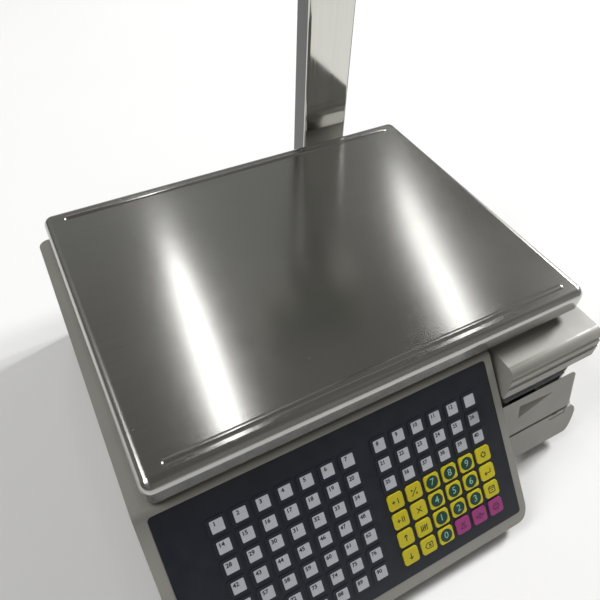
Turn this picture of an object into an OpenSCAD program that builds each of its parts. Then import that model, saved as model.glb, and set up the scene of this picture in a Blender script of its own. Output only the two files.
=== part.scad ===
// Label printing scale: a stainless weighing tray on a load cell, a sloping keyboard in front of it, a label
// printer at the right front and a display head on a pole behind.
// X runs to the right, Y to the back and Z up. Z = 0 is the table, and the origin is under the middle.

/* [Weighing tray] */
// Width of the tray
platter_w = 380; // [370:1:384]
// Depth of the tray
platter_d = 291.4; // [284:0.2:294]
// Height of the tray's top face above the table
platter_top = 152; // [151:0.5:154]
// Height of the tray's skirt
skirt_h = 20; // [17:0.5:20.5]
// Thickness of the tray's sheet steel
sheet_t = 1.2; // [0.8:0.1:1.5]
// How far the tray sinks at full load
weigh_travel = 0.6; // [0.3:0.1:0.8]

/* [Housing] */
// Overall width of the housing
body_w = 401; // [401:1:405]
// Height of the deck under the tray
deck_z = 127.5; // [126.5:0.5:128]
// Thickness of the moulded walls
wall = 3; // [2.6:0.1:3.2]
// Slope of the keyboard face, from horizontal
slope_deg = 49.6; // [49:0.1:50]
// Height of the housing's lower edge above the table
base_z = 10; // [10:0.5:11]

/* [Keyboard] */
// Column pitch of the keys
key_px = 16.9; // [16.6:0.1:17]
// Row pitch of the keys
key_py = 15.8; // [15.6:0.1:15.9]
// Key travel
key_travel = 0.8; // [0.5:0.1:0.9]

/* [Printer] */
// Slope of the printer's front, from vertical
front_deg = 15.4; // [15:0.1:15.8]
// Radius of a full label roll
roll_r = 38; // [30:1:38]
// Width of the label roll
roll_w = 60; // [40:1:60]
// Gear module of the feed train
gear_m = 0.8; // [0.8:0.1:0.8]

/* [Pole and display] */
// Width of the pole
pole_w = 52; // [46:1:54]
// Depth of the pole
pole_d = 26; // [22:1:26]
// Width of the display head
head_w = 165; // [150:1:165]
// Height of the display head
head_h = 105; // [95:1:110]
// Overall height of the scale
total_h = 520; // [480:5:560]

/* [Hidden] */
eps = 0.01;
half_w = body_w / 2;
// Depth positions: housing front and back, tray centre, pole centre, display depth
front_y = -225;
back_y = 160;
tray_y = 19;
pole_y = 202;
pole_x = 119;
head_d = 46;
// Right edge of the keyboard portion, and left edge of the printer portion
split_x = 90;
bay_x = 93.5;
bay_right = 188;
bay_back = -38;
// Top of the slope
slope_y = -128;
// Keyboard layout along the slope: middle column position, first row, gap between the two blocks
keys_x = -42.5;
row0_v = -29;
block_gap = 0.6;
cap_w = 13.4;
cap_d = 12.6;
panel_x0 = -192;
panel_x1 = 83.4;
panel_v0 = -141.1;
panel_v1 = -3.7;
panel_top = 0.2;
panel_bottom = -1.4;
// Underside of the function keys' flanges, and top of the board below them
flange_w = -2.4;
board_w = flange_w - key_travel - 1.2;
KEY_NAMES = [
    ["discount", "7", "8", "9", "function"],
    ["multiply", "4", "5", "6", "enter"],
    ["count", "1", "2", "3", "date"],
    ["clear", "0", "tare", "zero", "print"],
];
// Printer: front face at a height, door and sill, mechanism axes as [y, z]
sill_z = 13;
front_low_y = -178;
door_top = 85.3;
hinge_z = 46.1;
hinge_y = -166.3;
hinge_r = 2.5;
door_x1 = 181;
cover_low = 95;
cover_top = 122;
platen = [-138, 84];
platen_r = 7;
idler = [-138, 84 - gear_m * (24 + 32) / 2];
motor = [-138, 84 - gear_m * (24 + 64 + 12) / 2];
roll = [-84, 62];
head_pivot = [-108, 106];
lever = [-131, 74];
plate_x = 100;
plate_t = 1.5;
ear_x = 172;
roll_x = 107;
shaft_gap = 0.05;
side_hinge = [186.2, -50];
// Feet and load cell
FEET = [[-168, -190], [168, -142], [-168, 130], [168, 130]];
foot_stem_r = 4;
cell_l = 130;
cell_w = 30;
cell_z0 = 70;
cell_z1 = 92;
bolt_r = 2.5;
// Spider's boss places from the tray's middle, and the pads on them
arm_x = 150;
arm_y = 105;
pad_h = 4;
// Housing screws
SCREWS = [[-184, -60], [-184, 60], [184, 40], [-60, 146]];

$fn = 48;

// ---- Helpers ----

// Rectangle with rounded corners, centred
module round_rect(w, d, r) {
    square([w - 2 * r, d], center = true);
    square([w, d - 2 * r], center = true);
    for (sx = [-1, 1], sy = [-1, 1])
        translate([sx * (w / 2 - r), sy * (d / 2 - r)]) circle(r);
}

// Plate with rounded corners, centred in X and Y, standing on Z = 0
module round_plate(w, d, r, h) {
    linear_extrude(h) round_rect(w, d, r);
}

// Box between two corners
module span_box(lo, hi) {
    translate(lo) cube(hi - lo);
}

// Profile drawn in Y and Z, extruded from x0 to x1
module along_x(x0, x1) {
    translate([x0, 0, 0]) rotate([90, 0, 90]) linear_extrude(x1 - x0) children();
}

// Cylinder along X at a [y, z] place
module x_rod(place, r, x0, x1) {
    translate([x0, place[0], place[1]]) rotate([0, 90, 0]) cylinder(r = r, h = x1 - x0);
}

// Local frame on the keyboard slope: X right, Y up the slope, Z out of the face
module on_slope(x = 0, v = 0) {
    translate([x, slope_y + v * cos(slope_deg), deck_z + v * sin(slope_deg)])
        rotate([slope_deg, 0, 0]) children();
}

// Local frame on the printer's front face: X right, Y up the face, Z out of it, from the hinge height up
module on_front(v = 0) {
    translate([0, front_y_at(hinge_z + v * cos(front_deg)), hinge_z + v * cos(front_deg)])
        rotate([90 - front_deg, 0, 0]) children();
}

// Sweeps a 2D profile round the rim of a rounded rectangle; the profile's X runs from the corner's centre out
module rim_sweep(w, d, r) {
    for (i = [0:3]) {
        long = i % 2 == 0 ? w : d;
        other = i % 2 == 0 ? d : w;
        rotate(i * 90) {
            translate([long / 2 - r, other / 2 - r, 0]) rotate_extrude(angle = 90) children();
            translate([-(long / 2 - r), other / 2 - r, 0]) rotate([90, 0, 90])
                linear_extrude(long - 2 * r) children();
        }
    }
}

// Printer front face: its Y at height z
function front_y_at(z) = front_low_y + (z - sill_z) * tan(front_deg);

function key_x(col) = keys_x + (col - 6.5 + (col >= 7 ? block_gap : 0)) * key_px;
function key_v(row) = row0_v - row * key_py;

// Involute gear outline: flank points of one tooth, then the whole wheel
function flank(m, teeth, t) =
    let (rb = m * teeth / 2 * cos(20), ro = m * (teeth / 2 + 1),
         u1 = sqrt(pow(ro / rb, 2) - 1) * 180 / PI, u = u1 * t,
         up = sqrt(pow(1 / cos(20), 2) - 1) * 180 / PI,
         rad = rb * sqrt(1 + pow(u * PI / 180, 2)),
         turn = (u - atan(u * PI / 180)) - (up - 20))
    [rad, turn];
function tooth(m, teeth, a) =
    let (half = 90 / teeth - 4 / (m * teeth) * 2, steps = 4, rr = m * (teeth / 2 - 1.2))
    concat([[rr, a - half - 90 / teeth * 0.35]],
           [for (i = [0:steps]) let (f = flank(m, teeth, i / steps)) [f[0], a - half + f[1]]],
           [for (i = [steps:-1:0]) let (f = flank(m, teeth, i / steps)) [f[0], a + half - f[1]]],
           [[rr, a + half + 90 / teeth * 0.35]]);
module gear_2d(m, teeth, first) {
    polygon([for (i = [0:teeth - 1], p = tooth(m, teeth, first + i * 360 / teeth))
        p[0] * [cos(p[1]), sin(p[1])]]);
}

// ---- Weighing parts ----

// Pressed tray: flat top, rolled edge, skirt, and a raised bead near the front and back edges
module platter() {
    corner = 8.5;
    bead_y = 132;
    color("silver") translate([0, tray_y, 0]) difference() {
        union() {
            translate([0, 0, platter_top - sheet_t])
                linear_extrude(sheet_t) square([platter_w - 2 * corner, platter_d - 2 * corner], center = true);
            rim_sweep(platter_w, platter_d, corner) difference() {
                rim_outline(corner, 0);
                rim_outline(corner, sheet_t);
            }
            for (sy = [-1, 1]) bead(sy * bead_y, 0);
        }
        for (sy = [-1, 1]) bead(sy * bead_y, sheet_t);
    }
}

// Section under the tray's surface from the corner's centre out, moved in by t: flat, round bend, skirt
module rim_outline(corner, t) {
    bend = 8;
    low = platter_top - skirt_h - t;
    left = t > 0 ? -1 : 0;
    at = [corner - bend, platter_top - bend];
    translate([left, low]) square([at[0] - left, platter_top - t - low]);
    translate([left, low]) square([corner - t - left, at[1] - low]);
    intersection() {
        translate(at) circle(bend - t);
        translate(at) square(bend);
    }
}

// Narrow round-topped bead along X, moved in by t; its crown stands 1.2 above the tray
module bead(y, t) {
    r = 4.1;
    half = 170;
    intersection() {
        translate([0, y, platter_top + 1.2 - r]) {
            translate([-half, 0, 0]) rotate([0, 90, 0]) cylinder(r = r - t, h = 2 * half);
            for (sx = [-1, 1]) translate([sx * half, 0, 0]) sphere(r - t);
        }
        translate([-180, y - 5, platter_top - sheet_t - (t > 0 ? 1 : 0)]) cube([360, 10, 10]);
    }
}

// Cast spider that carries the tray: hub on the load cell's free end with two studs and nuts, and four arms
module platter_support() {
    low = deck_z + weigh_travel + 5.9;
    color("gainsboro") translate([0, tray_y, 0]) {
        span_box([30, -15, cell_z1], [60, 15, low]);
        for (x = [38, 52]) {
            translate([x, 0, cell_z0 - 6]) cylinder(r = bolt_r, h = 40);
            translate([x, 0, cell_z0 - 4.5]) cylinder(r = 4.6, h = 4.45, $fn = 6);
        }
        span_box([-70, -30, low], [70, 30, low + 5]);
        for (sx = [-1, 1]) span_box([sx * 55 - 15, -arm_y, low], [sx * 55 + 15, arm_y, low + 5]);
        for (sy = [-1, 1]) span_box([-arm_x, sy * arm_y - 12, low], [arm_x, sy * arm_y + 12, low + 5]);
        for (sx = [-1, 1], sy = [-1, 1])
            translate([sx * arm_x, sy * arm_y, low]) cylinder(r = 14, h = platter_top - sheet_t - pad_h - low);
    }
}

// Rubber pads between the spider's bosses and the tray
module support_pads() {
    color("dimgray") for (sx = [-1, 1], sy = [-1, 1])
        translate([sx * arm_x, tray_y + sy * arm_y, platter_top - sheet_t - pad_h]) cylinder(r = 10, h = pad_h);
}

// Single-point load cell: an aluminium bar with a binocular cut-out
module load_cell() {
    color("lightsteelblue") translate([0, tray_y, 0]) difference() {
        span_box([-cell_l / 2, -cell_w / 2, cell_z0], [cell_l / 2, cell_w / 2, cell_z1]);
        for (x = [-14, 14]) translate([x, cell_w, 81]) rotate([90, 0, 0]) cylinder(r = 8, h = 2 * cell_w);
        span_box([-14, -cell_w, 79], [14, cell_w, 83]);
        for (x = [-52, -38, 38, 52])
            translate([x, 0, cell_z0 - 1]) cylinder(r = bolt_r + 0.25, h = cell_z1 - cell_z0 + 2);
    }
}

// Screw with a round head, head down, tip up
module screw(head_r, head_h, shank_r, length) {
    difference() {
        cylinder(r = head_r, h = head_h);
        translate([0, 0, -eps]) cylinder(r = head_r * 0.5, h = head_h * 0.6, $fn = 6);
    }
    translate([0, 0, head_h - eps]) cylinder(r = shank_r, h = length);
}

// Two bolts that hold the load cell down, and four housing screws
module fasteners() {
    color("slategray") {
        for (x = [-52, -38]) translate([x, tray_y, cell_z1 + 5]) rotate([180, 0, 0]) screw(4.5, 5, bolt_r, 30);
        for (p = SCREWS) translate([p[0], p[1], base_z - 0.2]) screw(3.5, 2.2, 1.8, 10);
    }
}

// Bull's-eye level on the deck
module bubble_level() {
    color("white") translate([-158, 128, deck_z]) difference() {
        cylinder(r = 9, h = 4);
        translate([0, 0, 1.5]) cylinder(r = 7, h = 4);
    }
}

// ---- Casing ----

// Side profile of the keyboard portion, with the wall taken off all round
module body_profile(t) {
    top = deck_z - t;
    nose = 6;
    // Corner where the sloping face, moved in by t, meets the deck
    edge_y = slope_y + t * tan(slope_deg / 2);
    blend = nose * tan(slope_deg / 2);
    low = 13.5 - t * 0.35;
    polygon(concat(
        [[back_y - t, base_z - (t > 0 ? 1 : 0)], [back_y - t, top]],
        [for (i = [0:6]) [edge_y + blend, top - nose] + nose * [-sin(slope_deg * i / 6), cos(slope_deg * i / 6)]],
        [[front_y + t, low], [front_y + t, base_z - (t > 0 ? 1 : 0)]]));
}

// Keyboard portion and the block behind the printer, moved in by t
module body_solid(t) {
    r = 9 - t;
    low = base_z - (t > 0 ? 1 : 0);
    intersection() {
        along_x(-half_w + t, split_x - t) body_profile(t);
        union() {
            translate([(split_x - half_w) / 2, (front_y + back_y) / 2, low])
                round_plate(split_x + half_w - 2 * t, back_y - front_y - 2 * t, r, 200);
            span_box([0, 0, low], [split_x - t, back_y - t, 200]);
        }
    }
    translate([(half_w + split_x) / 2 - 20, (bay_back + back_y) / 2, low])
        round_plate(half_w - split_x + 40 - 2 * t, back_y - bay_back - 2 * t, r, deck_z - t - low);
}

// Upper shell: deck, sloping keyboard face and outer walls
module top_housing() {
    color("lightgray") difference() {
        body_solid(0);
        body_solid(wall);
        // Room for the spider's hub
        translate([45, tray_y, deck_z - 10]) round_plate(44, 44, 6, 20);
        // Keyboard: a ledge for the panel and a hole behind it
        on_slope((panel_x0 + panel_x1) / 2, (panel_v0 + panel_v1) / 2) {
            translate([0, 0, panel_bottom]) round_plate(panel_x1 - panel_x0, panel_v1 - panel_v0, 3, 20);
            translate([0, 0, -10]) round_plate(panel_x1 - panel_x0 - 12, panel_v1 - panel_v0 - 12, 3, 20);
        }
        // Power inlet
        span_box([-152, back_y - 10, 36], [-124, back_y + 10, 84]);
        // Cable way to the pole
        translate([pole_x, back_y - 10, 80]) rotate([-90, 0, 0]) cylinder(r = 8, h = 20);
        // Passage for the bottom tray's bridge to the printer bay
        span_box([100, bay_back - 1, base_z - 1], [150, bay_back + wall + 1, base_z + 3.4]);
    }
}

// Bottom tray: floor, load cell pedestal and foot bosses
module base_tray() {
    gap = 0.4;
    t = wall + gap;
    color("dimgray") difference() {
        union() {
            translate([(split_x - half_w) / 2, (front_y + back_y) / 2, base_z])
                round_plate(split_x + half_w - 2 * t, back_y - front_y - 2 * t, 5, 3);
            translate([(half_w - t) / 2, (bay_back + back_y) / 2, base_z])
                round_plate(half_w - t, back_y - bay_back - 2 * t, 5, 3);
            span_box([bay_x + gap, -160, base_z], [bay_right - wall - gap - 6, bay_back - gap, base_z + 3]);
            span_box([100 + gap, bay_back - 2, base_z], [150 - gap, bay_back + 20, base_z + 3]);
            span_box([-62, tray_y - 15, base_z], [-28, tray_y + 15, cell_z0]);
            for (p = FEET) translate([p[0], p[1], base_z]) cylinder(r = 9, h = 18);
        }
        for (p = FEET) translate([p[0], p[1], base_z - 1])
            cylinder(r = foot_stem_r + shaft_gap, h = 22);
        for (x = [-52, -38]) translate([x, tray_y, cell_z0 - 20]) cylinder(r = bolt_r + 0.05, h = 21);
        for (p = SCREWS) translate([p[0], p[1], base_z - 1]) {
            cylinder(r = 3.7, h = 3.2);
            cylinder(r = 2, h = 10);
        }
        // Keyboard portion's wall comes down between the two floors
        span_box([split_x - wall - gap, -230, base_z - 1], [bay_x + gap, bay_back - 2, base_z + 10]);
        // Air slots under the electronics
        for (i = [0:7]) span_box([-150 + i * 8, -40, base_z - 1], [-146 + i * 8, 0, base_z + 4]);
    }
}

// Levelling foot: rubber disc on a threaded stem
module levelling_foot(i) {
    p = FEET[i];
    color("black") translate([p[0], p[1], 0]) {
        cylinder(r1 = 14, r2 = 15, h = 1.5);
        translate([0, 0, 1.5]) cylinder(r = 15, h = 4.5);
        translate([0, 0, 6]) cylinder(r = 6.5, h = 3, $fn = 6);
        translate([0, 0, 9 - eps]) cylinder(r = foot_stem_r, h = 16);
    }
}

// ---- Keyboard ----

// Dark panel with an opening for each function key
module keypad_panel() {
    color("midnightblue")
        difference() {
            on_slope((panel_x0 + panel_x1) / 2, (panel_v0 + panel_v1) / 2)
                translate([0, 0, panel_bottom])
                round_plate(panel_x1 - panel_x0 - 0.4, panel_v1 - panel_v0 - 0.4, 2.8, panel_top - panel_bottom);
            for (row = [3:6], col = [8:12]) on_slope(key_x(col), key_v(row))
                translate([0, 0, -5]) round_plate(cap_w + 0.6, cap_d + 0.6, 2.5, 10);
        }
}

// Embossed label keys: three full rows, then the left block's other rows
module preset_keys() {
    color("whitesmoke") {
        for (row = [0:2], col = [0:12]) preset_key(col, row);
        for (row = [3:6], col = [0:6]) preset_key(col, row);
    }
}

module preset_key(col, row) {
    on_slope(key_x(col), key_v(row)) translate([0, 0, panel_top + 0.01]) {
        round_plate(14.2, 13.4, 2, 0.5);
        translate([0, 0, 0.5]) round_plate(9.4, 9.2, 0.7, 0.25);
    }
}

// Four shortcut keys in the column beside the function keys
module shortcut_keys() {
    color("gold") for (row = [3:6]) on_slope(key_x(7), key_v(row))
        translate([0, 0, panel_top + 0.01]) round_plate(cap_w, cap_d, 2.2, 1.2);
}

// One function key: cap through the panel, and a flange that holds it under the panel
module function_key(col, row) {
    color(row == 6 && col > 9 ? "mediumvioletred" : "gold") on_slope(key_x(col), key_v(row)) {
        translate([0, 0, -2]) round_plate(cap_w, cap_d, 2.2, panel_top + 1.2 + 2);
        translate([0, 0, flange_w]) round_plate(cap_w + 1.9, cap_d + 1.9, 2, 0.8);
    }
}

// Switch board under the keys
module key_board() {
    color("darkgreen") on_slope((panel_x0 + panel_x1) / 2, (panel_v0 + panel_v1) / 2) {
        difference() {
            translate([0, 0, board_w - 1.6]) round_plate(262, 124, 2, 1.6);
            for (sx = [-1, 1], sy = [-1, 1]) translate([sx * 127, sy * 57, -10]) cylinder(r = 1.6, h = 10);
        }
        for (sx = [-1, 1], sy = [-1, 1])
            translate([sx * 127, sy * 57, board_w]) difference() {
                cylinder(r = 3, h = panel_bottom - board_w);
                translate([0, 0, -1]) cylinder(r = 1.6, h = 10);
            }
    }
}

// ---- Printer ----

// Front-view outline of the cover, with the drafted left side and the tiers at the right
module cover_front(t) {
    low = 80;
    polygon([[93 + t, low], [93 + t, cover_low + 2], [98 + t, cover_top - t], [197 - t, cover_top - t],
             [197 - t, 113.4], [195.5 - t, 113.4], [195.5 - t, 105.3], [193.5 - t, 105.3], [193.5 - t, low]]);
}

// Side-view outline of the cover: rounded front edge and three tiers
module cover_side(t) {
    low = t > 0 ? 20 : 0;
    polygon([[bay_back - 0.3, cover_top - t], [-144, cover_top - t], [-152 + t, cover_top - 8],
             [-152 + t, 113.4], [-153.6 + t, 112.4], [-153.6 + t, 106], [-155 + t, 105],
             [-155 + t, cover_low - low], [-140, cover_low - low], [-140, 90 - low], [bay_back - 0.3, 90 - low]]);
    translate([-144, cover_top - 8]) circle(8 - t);
}

// Fixed cover over the printer, with the guide rib that spans the slot
module printer_top_cover() {
    t = 2.5;
    color("silver") {
        difference() {
            intersection() {
                along_x(80, 220) cover_side(0);
                rotate([90, 0, 0]) translate([0, 0, -bay_back]) linear_extrude(200) cover_front(0);
            }
            intersection() {
                along_x(80, 220) cover_side(t);
                rotate([90, 0, 0]) translate([0, 0, -bay_back - 1]) linear_extrude(200) cover_front(t);
            }
            // Left side stays above the gear train's frame
            span_box([80, -160, 60], [96.5, bay_back + 1, cover_low]);
        }
        span_box([165, -154.5, 89.5], [167, -151.5, cover_low + 2]);
    }
}

// Lower casing round the printer bay: sloping sill, right wall, hinge lugs
module printer_housing() {
    color("lightgray") difference() {
        union() {
            difference() {
                bay_block(0);
                bay_block(wall);
                // Door opening, above the sill and in front of the right wall
                span_box([bay_x - 1, -190, hinge_z - hinge_r - 0.4], [200, -146, 100]);
                // Left end is open
                span_box([bay_x - 1, -160, base_z - 1], [bay_x + 3, bay_back + 1, 100]);
                // Side door opening
                span_box([bay_right - 10, -132.4, 19.6], [bay_right + 5, side_hinge[1] + 2.2, 86.4]);
                // Grooves round the door catch
                on_front(-7.6) span_box([155, -0.6, -2], [173.3, 0.6, 5]);
                on_front(-5.4) span_box([172.1, -2.8, -2], [173.3, 2.6, 5]);
                on_front(-3.4) span_box([158, -0.6, -2], [163, 0.6, 5]);
                // Sill's lower edge, and its rounded lower right corner
                span_box([bay_x - 1, -200, base_z - 1], [bay_right + 1, -162, base_z + 2]);
                translate([bay_right - 7, -200, base_z + 9]) rotate([-90, 0, 0]) difference() {
                    cube([8, 8, 38]);
                    translate([0, 0, -1]) cylinder(r = 7, h = 40);
                }
                // Rounded top right corner of the sill
                on_front(-12) translate([178, 0, -14]) difference() {
                    cube([12, 12, 20]);
                    translate([0, 0, -1]) cylinder(r = 9, h = 22);
                }
            }
            for (x = [96, 175.6]) {
                x_rod([hinge_y, hinge_z], 2.4, x, x + 3.4);
                span_box([x, hinge_y - 1.5, 33], [x + 3.4, hinge_y + 1.5, hinge_z]);
                span_box([x, hinge_y - 3.6, 33], [x + 3.4, hinge_y + 1.5, 38]);
            }
        }
        x_rod([hinge_y, hinge_z], 1.5 + shaft_gap, 90, 180);
        translate([side_hinge[0], side_hinge[1], 12]) cylinder(r = 1 + shaft_gap, h = 80);
    }
}

// Solid of the printer casing, moved in by t: the sloping front meets a rounded vertical corner
module bay_block(t) {
    low = base_z - (t > 0 ? 1 : 0);
    high = 90 + (t > 0 ? 1 : 0);
    intersection() {
        along_x(bay_x - (t > 0 ? 1 : 0), bay_right + 5) polygon([
            [bay_back - 0.3 + (t > 0 ? 1 : 0), low], [bay_back - 0.3 + (t > 0 ? 1 : 0), high],
            [front_y_at(high) + t / cos(front_deg), high], [front_y_at(low) + t / cos(front_deg), low]]);
        union() {
            span_box([bay_x - 1, -190, low], [bay_right - 9, bay_back + 1, high]);
            span_box([bay_x - 1, -169, low], [bay_right - t, bay_back + 1, high]);
            translate([bay_right - 9, -169, low]) cylinder(r = 9 - t, h = high - low);
        }
    }
}

// Front flap: sloping plate with rounded right corners, finger scoop, hinge barrel and stub pins
module printer_front_door() {
    door_h = (door_top - hinge_z) / cos(front_deg);
    t = 3;
    color("lightgray") {
        difference() {
            union() {
                on_front() {
                    difference() {
                        span_box([bay_x + 0.5, 0, -9], [door_x1, door_h, 0]);
                        span_box([bay_x - 1, -1, -10], [door_x1 - t, door_h + 1, -t]);
                        // Rounded right edge and top right corner
                        translate([door_x1 - 5, -1, -5]) rotate([-90, 0, 0]) difference() {
                            translate([0, -6, 0]) cube([6, 6, door_h + 2]);
                            translate([0, 0, -1]) cylinder(r = 5, h = door_h + 4);
                        }
                        translate([door_x1 - 11, door_h - 11, -12]) difference() {
                            cube([13, 13, 14]);
                            translate([0, 0, -1]) cylinder(r = 11, h = 16);
                        }
                        // Top edge bevelled behind
                        along_x(bay_x - 1, door_x1 + 1)
                            polygon([[door_h + 1, 0.1], [door_h + 1, -12], [door_h - 19.8, -12]]);
                    }
                    // Back of the finger scoop
                    span_box([111, door_h - 27, -7.5], [156, door_h - 10.3, -t + eps]);
                }
                x_rod([hinge_y, hinge_z], hinge_r, 100, 175);
            }
            // Finger scoop: deepest at its top left, running out to the right and downwards
            on_front() translate([114.5, door_h - 12, -6]) rotate([-28.6, -9, 0])
                translate([0, -20, 0]) cube([44, 20, 14]);
            // Clearance round the lugs
            x_rod([hinge_y, hinge_z], 3.4, bay_x, 99.8);
            x_rod([hinge_y, hinge_z], 3.4, 175.2, 182);
            on_front() span_box([175.2, -1, -12], [182, 4, -t]);
        }
        x_rod([hinge_y, hinge_z], 1.5, 96, 101);
        x_rod([hinge_y, hinge_z], 1.5, 174, 179);
    }
}

// Side door for loading the roll, hinged at its rear edge
module printer_side_door() {
    x = side_hinge[0];
    y = side_hinge[1];
    color("lightgray") {
        difference() {
            union() {
                span_box([bay_right - 2.4, -132, 20], [bay_right, y, 86]);
                translate([x, y, 20]) cylinder(r = 1.8, h = 66);
            }
            // Finger notch
            translate([bay_right + 1, -124, 53]) sphere(5);
        }
        translate([x, y, 17]) cylinder(r = 1, h = 72);
    }
}

// Steel chassis: left plate with foot flange, tie, right ear, stud for the idler, spindle and pivot pin
module printer_frame() {
    x1 = plate_x + plate_t;
    color("lightsteelblue") difference() {
        union() {
            span_box([plate_x, -148, 13], [x1, -46, 114]);
            span_box([plate_x, -148, 13], [plate_x + 24, -46, 14.5]);
            span_box([plate_x, -132, 66], [ear_x + plate_t, -126, 69]);
            span_box([ear_x, -148, 66], [ear_x + plate_t, -124, 96]);
            x_rod(idler, 2.5, 95.4, plate_x + eps);
            x_rod(roll, 6, plate_x, 171);
            x_rod(roll, 11, x1 - eps, x1 + 2);
            x_rod(head_pivot, 2, plate_x, 170.5);
        }
        x_rod(platen, 3 + shaft_gap, 90, 180);
        x_rod(motor, 5.6, 90, x1 + 1);
        x_rod(lever, 3 + shaft_gap, ear_x - 1, 180);
    }
}

// Thermal head: heat sink with a ceramic strip under it, on two arms that turn on the pivot pin
module print_head() {
    color("gray") difference() {
        union() {
            span_box([103, -147, 93.2], [169.5, -114, 100]);
            span_box([106, -144, platen[1] + platen_r + 0.1], [166, -131, 93.3]);
            for (x = [103, 166.5]) along_x(x, x + 3)
                polygon([[-118, 94], [-114, 94], [-103, 100], [-103, 111], [-118, 111]]);
        }
        x_rod(head_pivot, 2 + shaft_gap, 90, 180);
        for (i = [0:8]) span_box([109 + i * 6.4, -148, 96], [111.5 + i * 6.4, -121, 101]);
    }
}

// Lever that lifts the head
module head_lever() {
    color("seagreen") {
        x_rod(lever, 3, ear_x - 0.8, 178);
        x_rod(lever, 6, 174, 178);
        span_box([174.5, lever[0] - 3.5, lever[1] - 26], [177.5, lever[0] + 3.5, lever[1]]);
        x_rod([lever[0], lever[1] - 26], 3.5, 174.5, 177.5);
    }
}

// Rubber platen on its steel shaft
module platen_roller() {
    color("dimgray") {
        x_rod(platen, platen_r, 106, 166);
        x_rod(platen, 3, 95, 175);
    }
}

// Spur gear in the feed train's plane, bored for a shaft
module train_gear(place, teeth, first, bore_r) {
    translate([95.6, place[0], place[1]]) rotate([90, 0, 90]) linear_extrude(3.6) difference() {
        gear_2d(gear_m, teeth, first);
        circle(bore_r);
    }
}

module platen_gear() {
    color("ivory") train_gear(platen, 24, 90 + 7.5, 3);
}

module idler_gear() {
    color("ivory") train_gear(idler, 32, 90, 2.5 + shaft_gap);
}

// Pinion and the motor shaft it sits on
module motor_pinion() {
    color("goldenrod") {
        train_gear(motor, 12, 90 + 15, 1.5);
        x_rod(motor, 1.5, 95, 109);
    }
}

// Stepper motor behind the frame's plate
module feed_motor() {
    color("silver") difference() {
        union() {
            x_rod(motor, 14, 101.5, 123);
            x_rod(motor, 5, plate_x + 0.2, 102);
        }
        x_rod(motor, 1.5 + shaft_gap, 99, 110);
    }
}

// Roll of labels
module label_roll() {
    color("white") difference() {
        x_rod(roll, roll_r, roll_x, roll_x + roll_w);
        x_rod(roll, 12.6, roll_x - 1, roll_x + roll_w + 1);
    }
}

// Hub that carries the roll and turns on the spindle
module roll_hub() {
    color("gray") difference() {
        union() {
            x_rod(roll, 12.5, 104, 169);
            x_rod(roll, 30, 104.5, 106.8);
        }
        x_rod(roll, 6 + shaft_gap, 100, 172);
    }
}

// Serrated edge under the lip of the cover, with the guide below it that the label leaves over
module tear_bar() {
    teeth = 36;
    x0 = 100;
    x1 = 162;
    pitch = (x1 - x0) / teeth;
    color("silver") {
        translate([0, 0, 93.6]) linear_extrude(0.8) polygon(concat(
            [[x1, -149.8], [x0, -149.8], [x0, -154]],
            [for (i = [0:teeth - 1], k = [0, 1]) [x0 + (i + k / 2) * pitch, k == 0 ? -154 : -155]],
            [[x1, -154]]));
        span_box([x0 - 2.5, -151.4, 94.4], [x1 + 2.5, -149.9, 99]);
        for (x = [x0 - 2.5, x1 + 0.5]) span_box([x, -151.4, 87.5], [x + 2, -149.9, 94.5]);
        along_x(x0 - 2.5, x1 + 2.5)
            polygon([[-155.8, 86.4], [-149.2, 87.2], [-149.2, 88.2], [-155.8, 87.4]]);
    }
}

// ---- Electronics ----

module main_board() {
    color("darkgreen") {
        difference() {
            span_box([-186, -110, 22], [-76, 60, 23.6]);
            for (x = [-180, -82], y = [-104, 54]) translate([x, y, 20]) cylinder(r = 1.6, h = 6);
        }
        for (x = [-180, -82], y = [-104, 54]) translate([x, y, 13]) difference() {
            cylinder(r = 3, h = 9);
            translate([0, 0, -1]) cylinder(r = 1.6, h = 11);
        }
        for (i = [0:3]) span_box([-170 + i * 22, -60, 23.6], [-156 + i * 22, -46, 26]);
        span_box([-180, 10, 23.6], [-150, 40, 34]);
    }
}

module power_supply() {
    color("silver") difference() {
        span_box([-154, 72, 13], [-68, 128, 48]);
        for (i = [0:8]) span_box([-148 + i * 9, 80, 46], [-144 + i * 9, 120, 50]);
    }
}

// Mains inlet with a switch frame above it, set in the back wall
module power_inlet() {
    x = -138;
    color("black") difference() {
        union() {
            span_box([x - 13.8, back_y - 24, 36.2], [x + 13.8, back_y, 83.8]);
            span_box([x - 16, back_y, 34], [x + 16, back_y + 2, 86]);
        }
        // Socket for the connector
        span_box([x - 12, back_y - 16, 41], [x + 12, back_y + 3, 57]);
        // Opening for the rocker
        span_box([x - 10.2, back_y - 14, 62], [x + 10.2, back_y + 3, 80]);
        x_rod([back_y - 6, 71], 1 + shaft_gap, x - 12, x + 12);
    }
    color("gray") for (dx = [-7, 0, 7]) span_box([x + dx - 1, back_y - 17, 48], [x + dx + 1, back_y - 5, 52]);
}

// Rocker of the power switch, drawn in its off position
module power_switch() {
    x = -138;
    color("darkred") translate([x, back_y - 6, 71]) rotate([8, 0, 0]) {
        translate([-9.8, 0, 0]) rotate([90, 0, 90]) linear_extrude(19.6)
            polygon([[-4, -4], [5.5, -7.2], [6.6, 0], [5.5, 7.2], [-4, 4]]);
        translate([-11.5, 0, 0]) rotate([0, 90, 0]) cylinder(r = 1, h = 23);
    }
}

// ---- Pole and display ----

// Rectangular stainless tube
module pole() {
    r = 3;
    bottom = 50;
    top = total_h - head_h + 30;
    color("silver") translate([pole_x, pole_y, bottom]) difference() {
        round_plate(pole_w, pole_d, r, top - bottom);
        translate([0, 0, -1]) round_plate(pole_w - 3, pole_d - 3, r - 1.5, top - bottom + 2);
    }
}

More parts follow.
